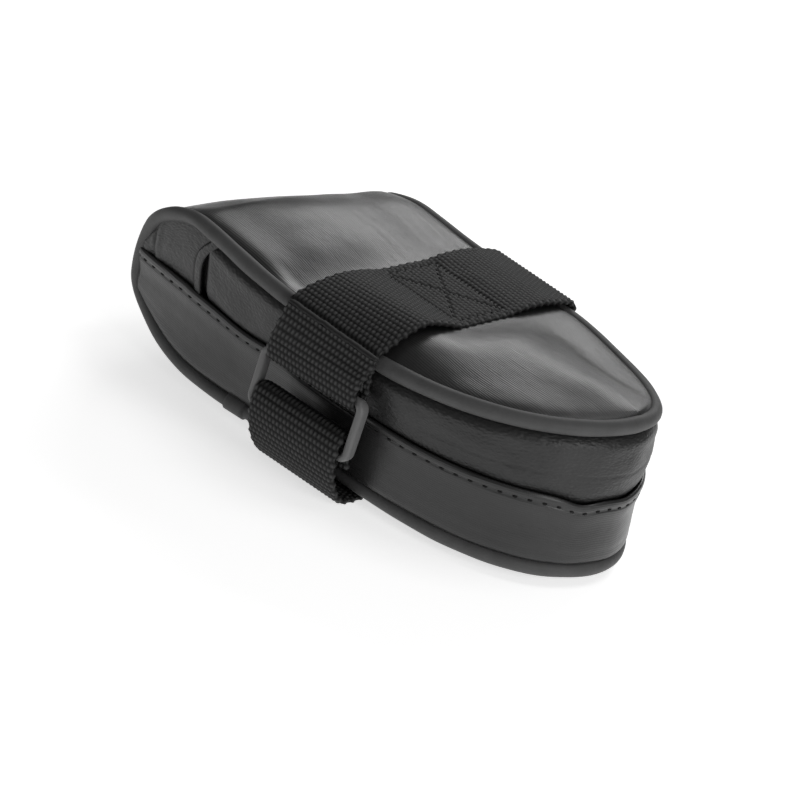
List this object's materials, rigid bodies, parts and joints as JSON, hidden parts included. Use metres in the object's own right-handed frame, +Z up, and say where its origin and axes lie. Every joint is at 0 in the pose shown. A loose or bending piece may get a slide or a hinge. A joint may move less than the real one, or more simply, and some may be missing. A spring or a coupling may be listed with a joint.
{
  "type": "bicycle saddle bag",
  "caption": "Soft wedge-shaped bicycle saddle bag with piped seams, a flap-covered zip round its side wall, and a wide webbing strap with a rectangular ring.",
  "frame": {"origin": "centre of the strap's flat run under the bag, on the plane that the bag rests on", "axes": "+X along the bag towards its rounded nose, -Y towards the side with the ring, +Z up"},
  "size_m": [0.1852, 0.1188, 0.0667],
  "materials": {
    "coated_fabric": "satin coated cloth with fine ribs",
    "grained_fabric": "synthetic leather with a fine grain",
    "piping_fabric": "smooth matte coated cloth",
    "piping_core": "matte",
    "webbing": "coarse woven webbing",
    "board_plastic": "matte",
    "zip_tape": "fine woven tape",
    "zip_nylon": "satin",
    "zip_metal": "dark painted",
    "pull_rubber": "matte moulded",
    "hook_and_loop": "matte",
    "ring_plastic": "fine textured"
  },
  "bodies": {
    "bag": {"top_panel": "coated_fabric", "bottom_panel": "coated_fabric", "lower_gusset": "coated_fabric", "upper_gusset": "grained_fabric", "gusset_end_near": "grained_fabric", "gusset_end_far": "grained_fabric", "top_stiffener": "board_plastic", "bottom_stiffener": "board_plastic", "piping_cover": "piping_fabric", "piping_join": "piping_fabric", "piping_cord": "piping_core", "zip_tape_upper": "zip_tape", "zip_tape_lower": "zip_tape", "zip_coil_upper": "zip_nylon", "zip_coil_lower": "zip_nylon", "zip_stop_near": "zip_metal", "zip_stop_far": "zip_metal", "strap_main": "webbing", "loop_patch": "hook_and_loop", "ring": "ring_plastic"},
    "slider": {"zip_slider": "zip_metal"},
    "pull": {"zip_pull": "pull_rubber"},
    "tail": {"strap_tail": "webbing", "hook_patch": "hook_and_loop"}
  },
  "joints": [
    {"name": "zip_slide", "type": "slide", "parent": "bag", "child": "slider", "axis": [0.9935, 0.0248, -0.1107], "range_m": [0, 0.033]},
    {"name": "pull_swing", "type": "hinge", "parent": "slider", "child": "pull", "pos_m": [-0.05725, 0.05114, 0.03928], "axis": [0.9935, 0.0248, -0.1107], "range_deg": [0, 150]},
    {"name": "tail_peel", "type": "hinge", "parent": "bag", "child": "tail", "pos_m": [0, -0.0605, 0.04025], "axis": [1, 0, 0], "range_deg": [0, 150]}
  ]
}
